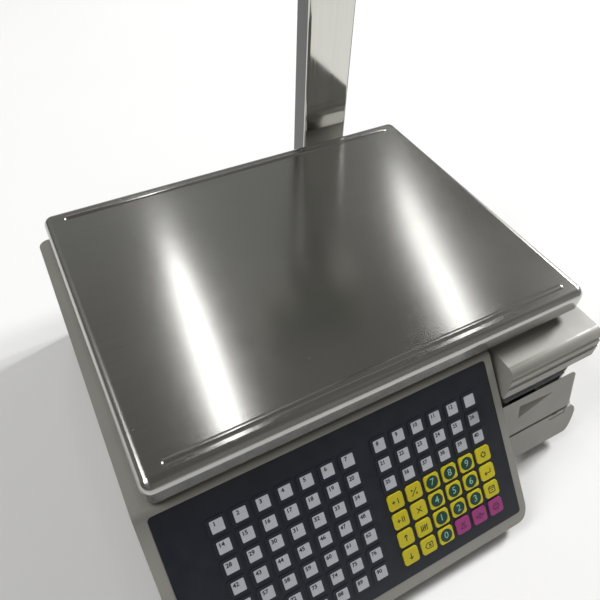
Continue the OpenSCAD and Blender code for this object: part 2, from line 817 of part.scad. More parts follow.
// Socket on the housing's back wall that the pole stands in
module pole_bracket() {
    color("dimgray") difference() {
        span_box([pole_x - 32, back_y, 40], [pole_x + 32, pole_y + pole_d / 2 + 4, 104]);
        translate([pole_x, pole_y, 50]) round_plate(pole_w, pole_d, 3, 100);
        translate([pole_x, back_y - 5, 80]) rotate([-90, 0, 0]) cylinder(r = 8, h = 30);
        for (sx = [-1, 1]) translate([pole_x + sx * 20, back_y - 1, 60]) rotate([-90, 0, 0])
            cylinder(r = 2.2, h = 12);
    }
}

// Half of the display head, towards dir = -1 (front) or 1 (back)
module head_half(dir) {
    t = 2.5;
    low = total_h - head_h;
    mid = total_h - head_h / 2;
    d = head_d / 2;
    inner = d - t;
    color("lightgray") translate([pole_x, pole_y, mid]) rotate([0, 0, dir < 0 ? 0 : 180]) difference() {
        rotate([90, 0, 0]) round_plate(head_w, head_h, 10, d);
        translate([0, eps, 0]) rotate([90, 0, 0]) round_plate(head_w - 2 * t, head_h - 2 * t, 8, inner);
        // Window
        translate([0, -d + 1.5, 4]) rotate([90, 0, 0]) round_plate(head_w - 22, head_h - 34, 3, 5);
        translate([0, -d + 5, 4]) rotate([90, 0, 0]) round_plate(head_w - 30, head_h - 42, 2, 10);
        // Half of the opening for the pole
        translate([0, 0, -head_h / 2 - 1]) round_plate(pole_w + 0.6, pole_d + 0.6, 3, 10);
    }
}

module display_head_front() {
    head_half(-1);
}

module display_head_rear() {
    head_half(1);
}

// Window panes over the two liquid crystal displays
module lcd_windows() {
    mid = total_h - head_h / 2;
    color("darkslategray") for (dir = [0, 180]) translate([pole_x, pole_y, mid]) rotate([0, 0, dir])
        translate([0, -head_d / 2 + 1.5, 4]) rotate([90, 0, 0])
            round_plate(head_w - 22.4, head_h - 34.4, 2.8, 1.2);
}

// ---- What each node draws ----

base_tray();
top_housing();
keypad_panel();
preset_keys();
shortcut_keys();
key_board();
printer_top_cover();
printer_housing();
printer_front_door();
printer_side_door();
printer_frame();
print_head();
head_lever();
platen_roller();
platen_gear();
idler_gear();
motor_pinion();
feed_motor();
label_roll();
roll_hub();
tear_bar();
platter();
platter_support();
support_pads();
load_cell();
fasteners();
bubble_level();
main_board();
power_supply();
power_inlet();
power_switch();
pole();
pole_bracket();
display_head_front();
display_head_rear();
lcd_windows();
for (i = [1:4])
    levelling_foot(i - 1);
for (row = [0:3], col = [0:4])
    function_key(col + 8, row + 3);
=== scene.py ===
"""Looks of the label printing scale: materials, printed keys, displays, small fittings, light and camera."""
import math

import bmesh
import bpy
from mathutils import Matrix, Vector


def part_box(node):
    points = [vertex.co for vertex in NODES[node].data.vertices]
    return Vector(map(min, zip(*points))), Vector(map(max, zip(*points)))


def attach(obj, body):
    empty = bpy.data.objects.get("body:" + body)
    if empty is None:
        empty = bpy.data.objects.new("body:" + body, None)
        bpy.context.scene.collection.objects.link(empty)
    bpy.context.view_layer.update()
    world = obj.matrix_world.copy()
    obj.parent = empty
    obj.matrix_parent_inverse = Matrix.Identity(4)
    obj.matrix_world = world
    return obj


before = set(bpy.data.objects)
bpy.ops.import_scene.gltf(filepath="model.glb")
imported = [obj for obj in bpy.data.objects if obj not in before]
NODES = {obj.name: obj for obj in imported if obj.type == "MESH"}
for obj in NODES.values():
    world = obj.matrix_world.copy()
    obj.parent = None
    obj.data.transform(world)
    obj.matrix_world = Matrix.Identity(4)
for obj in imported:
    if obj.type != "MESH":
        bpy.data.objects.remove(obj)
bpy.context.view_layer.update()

MM = 0.001
CASING = "casing"

# The keyboard's slope, and its directions: right, up the slope, out of the face
SLOPE = math.radians(49.6)
RIGHT = Vector((1, 0, 0))
UP_SLOPE = Vector((0, math.cos(SLOPE), math.sin(SLOPE)))
OUT = Vector((0, -math.sin(SLOPE), math.cos(SLOPE)))


# ---- Materials ----

class Finish:
    """A material on one Principled shader, with short helpers for the nodes that vary it."""

    def __init__(self, name, roughness=0.5, metallic=0.0, **sockets):
        self.material = bpy.data.materials.new(name)
        self.material.use_nodes = True
        self.tree = self.material.node_tree
        self.shader = self.tree.nodes["Principled BSDF"]
        self.set("Roughness", roughness)
        self.set("Metallic", metallic)
        for socket, value in sockets.items():
            self.set(socket.replace("_", " "), value)
        self.place = self.node("ShaderNodeTexCoord").outputs["Object"]

    def set(self, socket, value):
        """Sets a shader socket, or links to it where value is another node's output."""
        if isinstance(value, bpy.types.NodeSocket):
            self.tree.links.new(value, self.shader.inputs[socket])
        else:
            self.shader.inputs[socket].default_value = value

    def node(self, kind, inputs=(), **settings):
        node = self.tree.nodes.new(kind)
        for key, value in settings.items():
            setattr(node, key, value)
        for key, value in dict(inputs).items():
            if isinstance(value, bpy.types.NodeSocket):
                self.tree.links.new(value, node.inputs[key])
            else:
                node.inputs[key].default_value = value
        return node

    def scaled(self, stretch):
        """Object position in metres, stretched along each axis."""
        return self.node("ShaderNodeMapping", {"Vector": self.place, "Scale": stretch}).outputs[0]

    def noise(self, scale, detail=2.0, stretch=(1, 1, 1)):
        inputs = {"Vector": self.scaled(stretch), "Scale": scale, "Detail": detail}
        return self.node("ShaderNodeTexNoise", inputs).outputs[0]

    def cells(self, scale, stretch=(1, 1, 1), feature="F1"):
        inputs = {"Vector": self.scaled(stretch), "Scale": scale}
        return self.node("ShaderNodeTexVoronoi", inputs, feature=feature).outputs[0]

    def along(self, direction):
        """Distance along a direction, in metres."""
        inputs = {0: self.place, 1: tuple(direction)}
        return self.node("ShaderNodeVectorMath", inputs, operation="DOT_PRODUCT").outputs["Value"]

    def calc(self, operation, a, b=0.0):
        return self.node("ShaderNodeMath", {0: a, 1: b}, operation=operation).outputs[0]

    def remap(self, value, low, high, to_low=0.0, to_high=1.0):
        inputs = {"Value": value, "From Min": low, "From Max": high, "To Min": to_low, "To Max": to_high}
        return self.node("ShaderNodeMapRange", inputs).outputs[0]

    def mix(self, factor, a, b):
        node = self.node("ShaderNodeMix", data_type="RGBA")
        for index, value in ((0, factor), (6, a), (7, b)):
            if isinstance(value, bpy.types.NodeSocket):
                self.tree.links.new(value, node.inputs[index])
            else:
                node.inputs[index].default_value = value
        return node.outputs[2]

    def bump(self, height, depth):
        """Adds relief of that depth, in metres, on top of any relief already there."""
        node = self.node("ShaderNodeBump", {"Height": height, "Distance": depth, "Strength": 1.0})
        before = self.shader.inputs["Normal"].links
        if before:
            self.tree.links.new(before[0].from_socket, node.inputs["Normal"])
        self.set("Normal", node.outputs[0])


def shade(colour, factor):
    """A colour made lighter or darker."""
    return tuple(min(1.0, c * factor) for c in colour[:3]) + (1.0,)


def moulded(name, colour, roughness=0.42, grain=0.00002, grain_scale=2200, variety=0.05):
    """Moulded plastic: fine spark-eroded grain, slightly uneven tone and gloss."""
    f = Finish(name, roughness)
    tone = f.remap(f.noise(14, 4), 0.3, 0.7)
    f.set("Base Color", f.mix(tone, shade(colour, 1 - variety), shade(colour, 1 + variety)))
    f.set("Roughness", f.remap(f.noise(55, 3), 0.3, 0.7, roughness - 0.05, roughness + 0.08))
    f.bump(f.noise(grain_scale, 3), grain)
    f.bump(f.noise(9, 1), 0.00012)
    return f


def steel(name, colour, roughness, stretch, depth=0.000004, spread=0.06):
    """Drawn or brushed metal, with lines along the axis that is stretched least."""
    f = Finish(name, roughness, 1.0)
    lines = f.noise(1.0, 4, stretch)
    broad = f.noise(7, 3)
    tone = f.mix(f.remap(lines, 0.3, 0.7), shade(colour, 0.94), shade(colour, 1.04))
    f.set("Base Color", f.mix(f.remap(broad, 0.35, 0.65), tone, shade(colour, 0.97)))
    f.set("Roughness", f.remap(lines, 0.25, 0.75, roughness - spread, roughness + spread))
    f.bump(lines, depth)
    return f


def cast(name, colour, roughness=0.45):
    """As-cast aluminium with a sandy skin."""
    f = Finish(name, roughness, 1.0)
    f.set("Base Color", f.mix(f.noise(60, 4), shade(colour, 0.85), shade(colour, 1.1)))
    f.set("Roughness", f.remap(f.noise(300, 3), 0.3, 0.7, roughness - 0.1, roughness + 0.12))
    f.bump(f.noise(900, 4), 0.00006)
    return f


def rubber(name, colour, roughness=0.7):
    f = Finish(name, roughness)
    f.set("Base Color", f.mix(f.noise(120, 3), shade(colour, 0.8), shade(colour, 1.35)))
    f.bump(f.noise(2600, 2), 0.00004)
    return f


def film(name, colour, roughness=0.3, coat=0.08):
    """Satin printed film over a moulded part."""
    f = Finish(name, roughness, Coat_Weight=coat, Coat_Roughness=0.22)
    f.set("Base Color", f.mix(f.remap(f.noise(30, 3), 0.35, 0.65), shade(colour, 0.94), shade(colour, 1.06)))
    f.set("Roughness", f.remap(f.noise(90, 4), 0.3, 0.7, roughness - 0.05, roughness + 0.1))
    f.bump(f.noise(3200, 2), 0.000008)
    f.bump(f.noise(25, 1), 0.00003)
    return f


def tray_steel():
    """The tray's stainless sheet: brush lines along X that spread light along Y, scuffs and rub marks."""
    colour = (0.50, 0.495, 0.475)
    f = Finish("tray_steel", 0.3, 1.0)
    fine = f.noise(1.0, 3, (14, 5200, 5200))
    cloud = f.noise(6, 4)
    tone = f.mix(f.remap(fine, 0.3, 0.7), shade(colour, 0.92), shade(colour, 1.06))
    rubbed = f.remap(f.noise(11, 5), 0.52, 0.7)
    scuff = f.remap(f.noise(1.0, 2, (90, 260, 90)), 0.79, 0.81)
    worn = f.mix(f.calc("MULTIPLY", rubbed, 0.2), tone, shade(colour, 1.1))
    f.set("Base Color", f.mix(scuff, worn, shade(colour, 1.15)))
    base = f.remap(f.calc("ADD", f.calc("MULTIPLY", fine, 0.3), f.calc("MULTIPLY", cloud, 0.7)),
                   0.35, 0.65, 0.17, 0.22)
    f.set("Roughness", f.calc("ADD", base, f.calc("MULTIPLY", scuff, 0.2)))
    f.set("Anisotropic", 0.7)
    f.set("Tangent", f.node("ShaderNodeCombineXYZ", {0: 0.0, 1: 1.0, 2: 0.0}).outputs[0])
    f.bump(fine, 0.0000004)
    f.bump(f.noise(4, 1), 0.0003)
    return f


def pole_steel():
    """The pole's polished tube: faint drawing lines along it, and a painted dark reflection where it is seen
    at a low angle.
    """
    f = Finish("pole_steel", 0.09, 1.0)
    lines = f.noise(1.0, 4, (500, 500, 6))
    # Painted reflection: the base colour darkens on faces seen at a low angle, standing in for a dark room
    # mirrored in the steel
    painted_dark_reflection = f.remap(f.node("ShaderNodeLayerWeight", {"Blend": 0.5}).outputs["Facing"], 0.32, 0.5)
    face = f.mix(f.remap(lines, 0.3, 0.7), (0.62, 0.61, 0.57, 1), (0.66, 0.65, 0.61, 1))
    f.set("Base Color", f.mix(painted_dark_reflection, face, (0.11, 0.11, 0.11, 1)))
    f.set("Roughness", f.remap(lines, 0.25, 0.75, 0.06, 0.12))
    f.bump(lines, 0.0000015)
    return f


def label_keys():
    """Dark embossed pads with a pale printed insert on top: the height over the panel picks the colour."""
    dark = (0.012, 0.016, 0.026)
    pale = (0.54, 0.55, 0.60)
    f = Finish("label_keys", 0.35)
    pad_top = face_height("preset_keys") - 0.12 * MM
    insert = f.remap(f.along(OUT), pad_top - 0.02 * MM, pad_top)
    paper = f.mix(f.noise(160, 3), shade(pale, 0.94), shade(pale, 1.05))
    film_dark = f.mix(f.noise(60, 3), shade(dark, 0.8), shade(dark, 1.2))
    f.set("Base Color", f.mix(insert, film_dark, paper))
    f.bump(f.noise(2500, 2), 0.00001)
    return f


def roll_paper():
    """Wound labels: fine rings on the ends, faint bands round the outside."""
    low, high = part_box("label_roll")
    centre = (low + high) / 2
    f = Finish("label_paper", 0.62)
    offset = f.node("ShaderNodeVectorMath", {0: f.place, 1: tuple(centre)}, operation="SUBTRACT").outputs[0]
    flat = f.node("ShaderNodeVectorMath", {0: offset, 1: (0, 1, 1)}, operation="MULTIPLY").outputs[0]
    radius = f.node("ShaderNodeVectorMath", {0: flat}, operation="LENGTH").outputs["Value"]
    wobble = f.calc("ADD", radius, f.calc("MULTIPLY", f.noise(40, 2), 0.0006))
    ring = f.calc("SINE", f.calc("MULTIPLY", wobble, 9000))
    f.set("Base Color", f.mix(f.remap(ring, -1, 1), (0.66, 0.65, 0.6, 1), (0.83, 0.82, 0.79, 1)))
    f.bump(ring, 0.00003)
    f.bump(f.noise(700, 3), 0.00001)
    return f


def circuit_board():
    """Solder mask with copper tracks just visible under it."""
    f = Finish("circuit_board", 0.35, Coat_Weight=0.4, Coat_Roughness=0.1)
    tracks = f.remap(f.cells(260, feature="DISTANCE_TO_EDGE"), 0.02, 0.06)
    f.set("Base Color", f.mix(tracks, (0.05, 0.22, 0.1, 1), (0.012, 0.09, 0.035, 1)))
    f.bump(tracks, 0.00003)
    return f


def glass_pane():
    f = Finish("display_pane", 0.06, Transmission_Weight=0.92, IOR=1.46, Specular_IOR_Level=0.5)
    f.set("Base Color", f.mix(f.noise(20, 2), (0.72, 0.78, 0.76, 1), (0.8, 0.84, 0.83, 1)))
    f.set("Roughness", f.remap(f.noise(70, 4), 0.3, 0.7, 0.04, 0.1))
    return f


def floor_paper():
    f = Finish("floor_paper", 0.85)
    f.set("Base Color", f.mix(f.noise(3, 3), (0.86, 0.86, 0.86, 1), (0.9, 0.9, 0.9, 1)))
    f.bump(f.noise(400, 2), 0.00005)
    return f


# ---- Mesh helpers ----

def new_piece(name, mesh, finish, body):
    """Puts a mesh in the scene as a piece that rides on a body."""
    obj = bpy.data.objects.new(name, mesh)
    bpy.context.scene.collection.objects.link(obj)
    for one in finish if isinstance(finish, (list, tuple)) else [finish]:
        obj.data.materials.append(one.material)
    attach(obj, body)
    return obj


def mesh_from(name, bm):
    mesh = bpy.data.meshes.new(name)
    bm.normal_update()
    bm.to_mesh(mesh)
    bm.free()
    return mesh


def prism(bm, outline, height, place, material=0):
    """Adds a solid: a flat outline raised by height, then put in place by a matrix."""
    low = [bm.verts.new(place @ Vector((x, y, 0))) for x, y in outline]
    high = [bm.verts.new(place @ Vector((x, y, height))) for x, y in outline]
    n = len(outline)
    faces = [bm.faces.new(high), bm.faces.new(list(reversed(low)))]
    for i in range(n):
        faces.append(bm.faces.new((low[i], low[(i + 1) % n], high[(i + 1) % n], high[i])))
    for f in faces:
        f.material_index = material


def disc_outline(radius, sides=40, centre=(0, 0)):
    turn = 2 * math.pi / sides
    return [(centre[0] + radius * math.cos(i * turn), centre[1] + radius * math.sin(i * turn))
            for i in range(sides)]


def box_outline(x0, y0, x1, y1):
    return [(x0, y0), (x1, y0), (x1, y1), (x0, y1)]


def round_box(w, d, r, steps=6):
    """Outline of a rectangle with rounded corners, centred."""
    points = []
    for k, (sx, sy) in enumerate(((1, 1), (-1, 1), (-1, -1), (1, -1))):
        for i in range(steps + 1):
            a = math.pi / 2 * (k + i / steps)
            points.append((sx * (w / 2 - r) + r * math.cos(a), sy * (d / 2 - r) + r * math.sin(a)))
    return points


def add_text(bm, words, size, height, place, material=0, bold=0.0):
    """Adds raised figures, centred on the place."""
    curve = bpy.data.curves.new("figures", "FONT")
    curve.body = words
    curve.size = size
    curve.align_x = "CENTER"
    curve.align_y = "CENTER"
    curve.offset = bold
    curve.resolution_u = 3
    curve.extrude = height / 2
    holder = bpy.data.objects.new("figures", curve)
    mesh = bpy.data.meshes.new_from_object(holder)
    mesh.transform(place @ Matrix.Translation((0, 0, height / 2)))
    before = len(bm.faces)
    bm.from_mesh(mesh)
    bm.faces.ensure_lookup_table()
    for f in bm.faces[before:]:
        f.material_index = material
    bpy.data.objects.remove(holder)
    bpy.data.curves.remove(curve)
    bpy.data.meshes.remove(mesh)


def dress(node, finish):
    """Gives a CAD node its material."""
    slots = NODES[node].data.materials
    slots.clear()
    slots.append(finish.material)


def soften(node, width, segments=3, angle=32):
    """Rounds a CAD node's sharp edges by a small modifier."""
    obj = NODES[node]
    weld = obj.modifiers.new("weld", "WELD")
    weld.merge_threshold = 0.00001
    bevel = obj.modifiers.new("edges", "BEVEL")
    bevel.width = width
    bevel.segments = segments
    bevel.limit_method = "ANGLE"
    bevel.angle_limit = math.radians(angle)
    bevel.harden_normals = True


# ---- Places on the keyboard, worked out from the CAD nodes ----

def slope_span(node):
    """Least and greatest (right, up the slope, out) of a node's points."""
    points = [(v.co.x, v.co.dot(UP_SLOPE), v.co.dot(OUT)) for v in NODES[node].data.vertices]
    return [min(p[k] for p in points) for k in range(3)], [max(p[k] for p in points) for k in range(3)]


def face_height(node):
    return slope_span(node)[1][2]


def on_slope(u, v, w):
    """Matrix that puts a drawing on the slope: its X to the right, its Y up the slope, its Z out."""
    at = RIGHT * u + UP_SLOPE * v + OUT * w
    return Matrix(((RIGHT.x, UP_SLOPE.x, OUT.x, at.x), (RIGHT.y, UP_SLOPE.y, OUT.y, at.y),
                   (RIGHT.z, UP_SLOPE.z, OUT.z, at.z), (0, 0, 0, 1)))


def key_centre(node):
    low, high = slope_span(node)
    return (low[0] + high[0]) / 2, (low[1] + high[1]) / 2, high[2]


# ---- Printed figures and signs on the keys ----

INSERT_SIZE = 9.4 * MM
FIRST_KEY_INSET = 7.1 * MM
SIGN_WIDTH = 0.75 * MM
PRINT_HEIGHT = 0.04 * MM
FIGURE_HEIGHT = 0.03 * MM
KEY_ROWS = (("discount", "7", "8", "9", "function"), ("multiply", "4", "5", "6", "enter"),
            ("count", "1", "2", "3", "date"), ("clear", "0", "tare", "zero", "print"))


def number_label_keys(ink):
    """Numbers on the label keys: each row counts on, with the last key of the first row left blank."""
    u7, v3, _ = key_centre("key_7")
    u8 = key_centre("key_8")[0]
    v4 = key_centre("key_4")[1]
    pitch_u, pitch_v = u8 - u7, v3 - v4
    first_u = slope_span("preset_keys")[0][0] + FIRST_KEY_INSET
    top = face_height("preset_keys")
    bm = bmesh.new()
    for row in range(7):
        for col in range(13):
            right_block = col >= 7
            if row >= 3 and right_block or (row, col) == (0, 12):
                continue
            u = u7 + (col - 9) * pitch_u if right_block else first_u + col * pitch_u
            v = v3 + (3 - row) * pitch_v
            number = col + 1 if row == 0 else 14 * row + col
            place = on_slope(u - INSERT_SIZE * 0.16, v + INSERT_SIZE * 0.2, top)
            add_text(bm, str(number), 4.4 * MM, FIGURE_HEIGHT, place, bold=0.13 * MM)
    new_piece("label_key_numbers", mesh_from("label_key_numbers", bm), ink, CASING)


def add_bar(bm, x0, y0, x1, y1, width, height, place, material=0):
    """A straight stroke between two points."""
    along = Vector((x1 - x0, y1 - y0))
    side = Vector((-along.y, along.x)).normalized() * width / 2
    points = [(x0 - side.x, y0 - side.y), (x1 - side.x, y1 - side.y),
              (x1 + side.x, y1 + side.y), (x0 + side.x, y0 + side.y)]
    prism(bm, points, height, place, material)


def strokes_for(sign):
    """Strokes of a generic sign, as (x0, y0, x1, y1) in shares of the key's half width."""
    box = [(-.5, -.45, .5, -.45), (.5, -.45, .5, .45), (.5, .45, -.5, .45), (-.5, .45, -.5, -.45)]
    signs = {
        "discount": [(-.45, -.5, .45, .5), (-.5, .3, -.2, .3), (-.35, .15, -.35, .45), (.2, -.3, .5, -.3),
                     (.35, -.45, .35, -.15)],
        "multiply": [(-.4, -.4, .4, .4), (-.4, .4, .4, -.4)],
        "count": [(-.45, -.45, -.45, .45), (-.15, -.45, -.15, .45), (.15, -.45, .15, .45),
                  (-.6, -.3, .6, .3), (.45, -.45, .45, .45)],
        "clear": [(-.6, 0, -.25, .4), (-.6, 0, -.25, -.4), (-.25, .4, .6, .4), (-.25, -.4, .6, -.4),
                  (.6, .4, .6, -.4), (0, -.2, .35, .2), (0, .2, .35, -.2)],
        "function": [(-.5, 0, -.3, 0), (.3, 0, .5, 0), (0, -.5, 0, -.3), (0, .3, 0, .5),
                     (-.3, -.3, .3, -.3), (.3, -.3, .3, .3), (.3, .3, -.3, .3), (-.3, .3, -.3, -.3)],
        "enter": [(.5, .4, .5, -.15), (.5, -.15, -.5, -.15), (-.5, -.15, -.2, .12), (-.5, -.15, -.2, -.42)],
        "date": box + [(-.5, .2, .5, .2), (-.25, .45, -.25, .6), (.25, .45, .25, .6), (-.2, -.1, .2, -.1)],
        "tare": [(-.55, -.4, .55, -.4), (-.35, -.4, -.2, .1), (.35, -.4, .2, .1), (-.2, .1, .2, .1),
                 (0, .1, 0, .35), (-.45, .35, .45, .35)],
        "zero": [(-.7, 0, -.4, 0), (-.55, .15, -.4, 0), (-.55, -.15, -.4, 0), (.7, 0, .4, 0),
                 (.55, .15, .4, 0), (.55, -.15, .4, 0), (-.18, -.35, .18, -.35), (.18, -.35, .18, .35),
                 (.18, .35, -.18, .35), (-.18, .35, -.18, -.35)],
        "print": [(-.5, -.2, .5, -.2), (.5, -.2, .5, .2), (.5, .2, -.5, .2), (-.5, .2, -.5, -.2),
                  (-.28, .2, -.28, .5), (-.28, .5, .28, .5), (.28, .5, .28, .2),
                  (-.28, -.2, -.28, -.5), (-.28, -.5, .28, -.5), (.28, -.5, .28, -.2)],
        "first_shortcut": [(-.6, 0, -.1, 0), (-.35, -.25, -.35, .25), (.35, -.4, .35, .4)],
        "second_shortcut": [(-.6, 0, -.1, 0), (-.35, -.25, -.35, .25), (.2, -.4, .2, .4), (.5, -.4, .5, .4)],
        "third_shortcut": [(0, -.45, 0, .45), (0, .45, -.25, .15), (0, .45, .25, .15)],
        "fourth_shortcut": [(0, -.45, 0, .45), (0, -.45, -.25, -.15), (0, -.45, .25, -.15)],
    }
    return signs[sign]


def print_function_keys(green, figure, ink, plum):
    """Digits on round dark fields, and plain signs on the other keys. Each moves with its key."""
    half = 6.7 * MM
    for row, names in enumerate(KEY_ROWS):
        for col, name in enumerate(names):
            node = "key_" + name
            u, v, w = key_centre(node)
            place = on_slope(u, v, w)
            bm = bmesh.new()
            if name.isdigit():
                prism(bm, disc_outline(half * 0.8, 48), PRINT_HEIGHT, place, 0)
                up = place @ Matrix.Translation((0, 0, PRINT_HEIGHT))
                add_text(bm, name, 8.0 * MM, FIGURE_HEIGHT, up, 1, bold=-0.03 * MM)
                finishes = [green, figure]
            else:
                for line in strokes_for(name):
                    add_bar(bm, *(half * 0.85 * p for p in line), SIGN_WIDTH, PRINT_HEIGHT, place)
                finishes = [plum if name in ("tare", "zero", "print") else ink]
            new_piece(node + "_print", mesh_from(node, bm), finishes, node + "_cap")


def print_shortcut_keys(ink):
    low, high = slope_span("shortcut_keys")
    u = (low[0] + high[0]) / 2
    half = 5.8 * MM
    bm = bmesh.new()
    for row, sign in enumerate(("first_shortcut", "second_shortcut", "third_shortcut", "fourth_shortcut")):
        v = key_centre("key_" + KEY_ROWS[row][1])[1]
        for line in strokes_for(sign):
            add_bar(bm, *(half * p for p in line), SIGN_WIDTH, PRINT_HEIGHT, on_slope(u, v, high[2]))
    new_piece("shortcut_key_signs", mesh_from("shortcut_key_signs", bm), ink, CASING)


# ---- Displays ----

SEGMENTS = {"0": "abcdef", "1": "bc", "2": "abged", "3": "abgcd", "4": "fgbc", "5": "afgcd",
            "6": "afgedc", "7": "abc", "8": "abcdefg", "9": "abcdfg"}
SEGMENT_LINES = {"a": (0, 2, 1, 2), "b": (1, 2, 1, 1), "c": (1, 1, 1, 0), "d": (0, 0, 1, 0),
                 "e": (0, 0, 0, 1), "f": (0, 1, 0, 2), "g": (0, 1, 1, 1)}


def add_reading(bm, digits, x, y, size, place):
    """Seven-segment figures, right-aligned at x; a dot before the last three or two digits."""
    step = size * 0.8
    bare = digits.replace(".", "")
    for i, digit in enumerate(reversed(bare)):
        left = x - (i + 1) * step
        for name in SEGMENTS[digit]:
            x0, y0, x1, y1 = SEGMENT_LINES[name]
            inset = 0.1
            dx, dy = (x1 - x0) * inset, (y1 - y0) * inset
            w = size * 0.5
            add_bar(bm, left + (x0 + dx) * w, y + (y0 + dy) * w, left + (x1 - dx) * w,
                    y + (y1 - dy) * w, size * 0.1, 0.1 * MM, place, 1)
    after = len(digits) - digits.index(".") - 1
    dot_x = x - after * step - size * 0.14
    prism(bm, disc_outline(size * 0.07, 12, (dot_x, y)), 0.1 * MM, place, 1)


def display_panels(reflector, segment):
    """The liquid crystal panel behind each pane: three fields with figures."""
    low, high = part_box("lcd_windows")
    centre = (low + high) / 2
    width, height = high.x - low.x, high.z - low.z
    for name, turn in (("operator_display", 0), ("customer_display", math.pi)):
        # Drawing's X to the viewer's right, its Y up, its Z towards the viewer
        behind_pane = Matrix.Translation((0, low.y - centre.y + 2.6 * MM, 0))
        face = (Matrix.Translation(centre) @ Matrix.Rotation(turn, 4, "Z") @ behind_pane @
                Matrix.Rotation(math.pi / 2, 4, "X"))
        bm = bmesh.new()
        prism(bm, round_box(width - 9 * MM, height - 9 * MM, 2 * MM), 0.6 * MM,
              face @ Matrix.Translation((0, 0, -0.6 * MM)), 0)
        for line, reading in enumerate(("0.000", "0.00", "0.00")):
            y = height * (0.16 - 0.24 * line) - 2 * MM
            add_reading(bm, reading, width * 0.36, y, 11 * MM, face)
            rule = box_outline(-width * 0.44, y - 3.5 * MM, width * 0.44, y - 3.1 * MM)
            prism(bm, rule, 0.05 * MM, face, 1)
        new_piece(name, mesh_from(name, bm), [reflector, segment], CASING)


# ---- Small fittings ----

def add_turned(bm, rings, sides, place):
    """Adds a closed turned solid: (radius, height) rings from its foot to its top, about the place's Z."""
    turn = 2 * math.pi / sides
    loops = [[bm.verts.new(place @ Vector((r * math.cos(i * turn), r * math.sin(i * turn), h)))
              for i in range(sides)] for r, h in rings]
    for a, b in zip(loops, loops[1:]):
        for i in range(sides):
            bm.faces.new((a[i], a[(i + 1) % sides], b[(i + 1) % sides], b[i]))
    bm.faces.new(loops[-1])
    bm.faces.new(list(reversed(loops[0])))


def add_screw(bm, place, radius):
    """Pan-head screw with a cross recess, its axis along the place's Z."""
    profile = ((1, 0), (1, 0.25), (0.8, 0.5), (0.45, 0.62))
    add_turned(bm, [(radius * r, radius * h) for r, h in profile], 24, place)
    for x, y in ((1, 0), (0, 1)):
        add_bar(bm, -x * radius * 0.5, -y * radius * 0.5, x * radius * 0.5, y * radius * 0.5,
                radius * 0.16, radius * 0.03, place @ Matrix.Translation((0, 0, radius * 0.62)), 1)


def rear_screws(metal, dark):
    """Screws in the back of the display head and of the pole socket."""
    towards_back = Matrix.Rotation(-math.pi / 2, 4, "X")
    bm = bmesh.new()
    low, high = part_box("display_head_rear")
    for x in (low.x + 9 * MM, high.x - 9 * MM):
        for z in (low.z + 8 * MM, high.z - 8 * MM):
            add_screw(bm, Matrix.Translation((x, high.y - 1.2 * MM, z)) @ towards_back, 2.4 * MM)
    low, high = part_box("pole_bracket")
    for x in (low.x + 9 * MM, high.x - 9 * MM):
        for z in (low.z + 12 * MM, high.z - 12 * MM):
            add_screw(bm, Matrix.Translation((x, high.y - 0.4 * MM, z)) @ towards_back, 3 * MM)
    new_piece("rear_screws", mesh_from("rear_screws", bm), [metal, dark], CASING)


def level_vial(liquid, mark):
    """Domed lens of the bull's-eye level, with its bubble."""
    low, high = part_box("bubble_level")
    centre = (low + high) / 2
    bm = bmesh.new()
    radius = 6.8 * MM
    profile = ((1, 1.6), (1, 3.0), (0.75, 3.5), (0.4, 3.8), (0.05, 3.9))
    rings = [(radius * r, h * MM) for r, h in profile]
    add_turned(bm, rings, 32, Matrix.Translation((centre.x, centre.y, low.z)))
    bubble = Matrix.Translation((centre.x + 0.5 * MM, centre.y - 0.3 * MM, low.z + 3.88 * MM))
    prism(bm, disc_outline(1.7 * MM, 24), 0.06 * MM, bubble, 1)
    new_piece("level_vial", mesh_from("level_vial", bm), [liquid, mark], CASING)


# ---- Stage, light and camera ----

def make_floor():
    floor_size = 9
    bpy.ops.mesh.primitive_plane_add(size=floor_size, location=(0, 0, 0))
    floor = bpy.context.object
    floor.name = "floor"
    floor.data.materials.append(floor_paper().material)


def area_light(name, at, towards, size, power):
    data = bpy.data.lights.new(name, "AREA")
    data.shape = "RECTANGLE"
    data.size, data.size_y = size
    data.energy = power
    light = bpy.data.objects.new(name, data)
    light.location = at
    light.rotation_euler = (Vector(towards) - Vector(at)).to_track_quat("-Z", "Y").to_euler()
    bpy.context.scene.collection.objects.link(light)
    return light


def tube_light(name, start, end, width, power):
    """A long ceiling light that shines down, from one end point to the other."""
    start, end = Vector(start), Vector(end)
    along = end - start
    middle = (start + end) / 2
    light = area_light(name, middle, middle - Vector((0, 0, 1)), (width, along.length), power)
    light.rotation_euler = (0, 0, math.atan2(-along.x, along.y))
    return light


def make_lights():
    world = bpy.data.worlds.new("room")
    world.use_nodes = True
    bpy.context.scene.world = world
    tree = world.node_tree
    background = tree.nodes["Background"]
    place = tree.nodes.new("ShaderNodeTexCoord")
    noise = tree.nodes.new("ShaderNodeTexNoise")
    noise.inputs["Scale"].default_value = 1.6
    noise.inputs["Detail"].default_value = 1.0
    ramp = tree.nodes.new("ShaderNodeValToRGB")
    ramp.color_ramp.elements[0].position = 0.35
    ramp.color_ramp.elements[0].color = (0.12, 0.112, 0.10, 1)
    ramp.color_ramp.elements[1].position = 0.65
    ramp.color_ramp.elements[1].color = (0.25, 0.255, 0.245, 1)
    tree.links.new(place.outputs["Generated"], noise.inputs["Vector"])
    tree.links.new(noise.outputs[0], ramp.inputs[0])
    tree.links.new(ramp.outputs[0], background.inputs[0])
    background.inputs[1].default_value = 1.0
    tube_light("left_tube", (0.2, 0.8, 2.15), (0.36, 2.12, 2.15), 0.06, 2.6)
    tube_light("right_tube", (1.5, 0.75, 2.15), (1.93, 2.1, 2.15), 0.08, 2.8)
    area_light("right_window", (4.3, 0.85, 2.6), (0, 0, 0.1), (1.0, 0.8), 290)
    area_light("left_window", (-1.7, 0.5, 2.4), (0, 0, 0.1), (1.3, 1.3), 36)


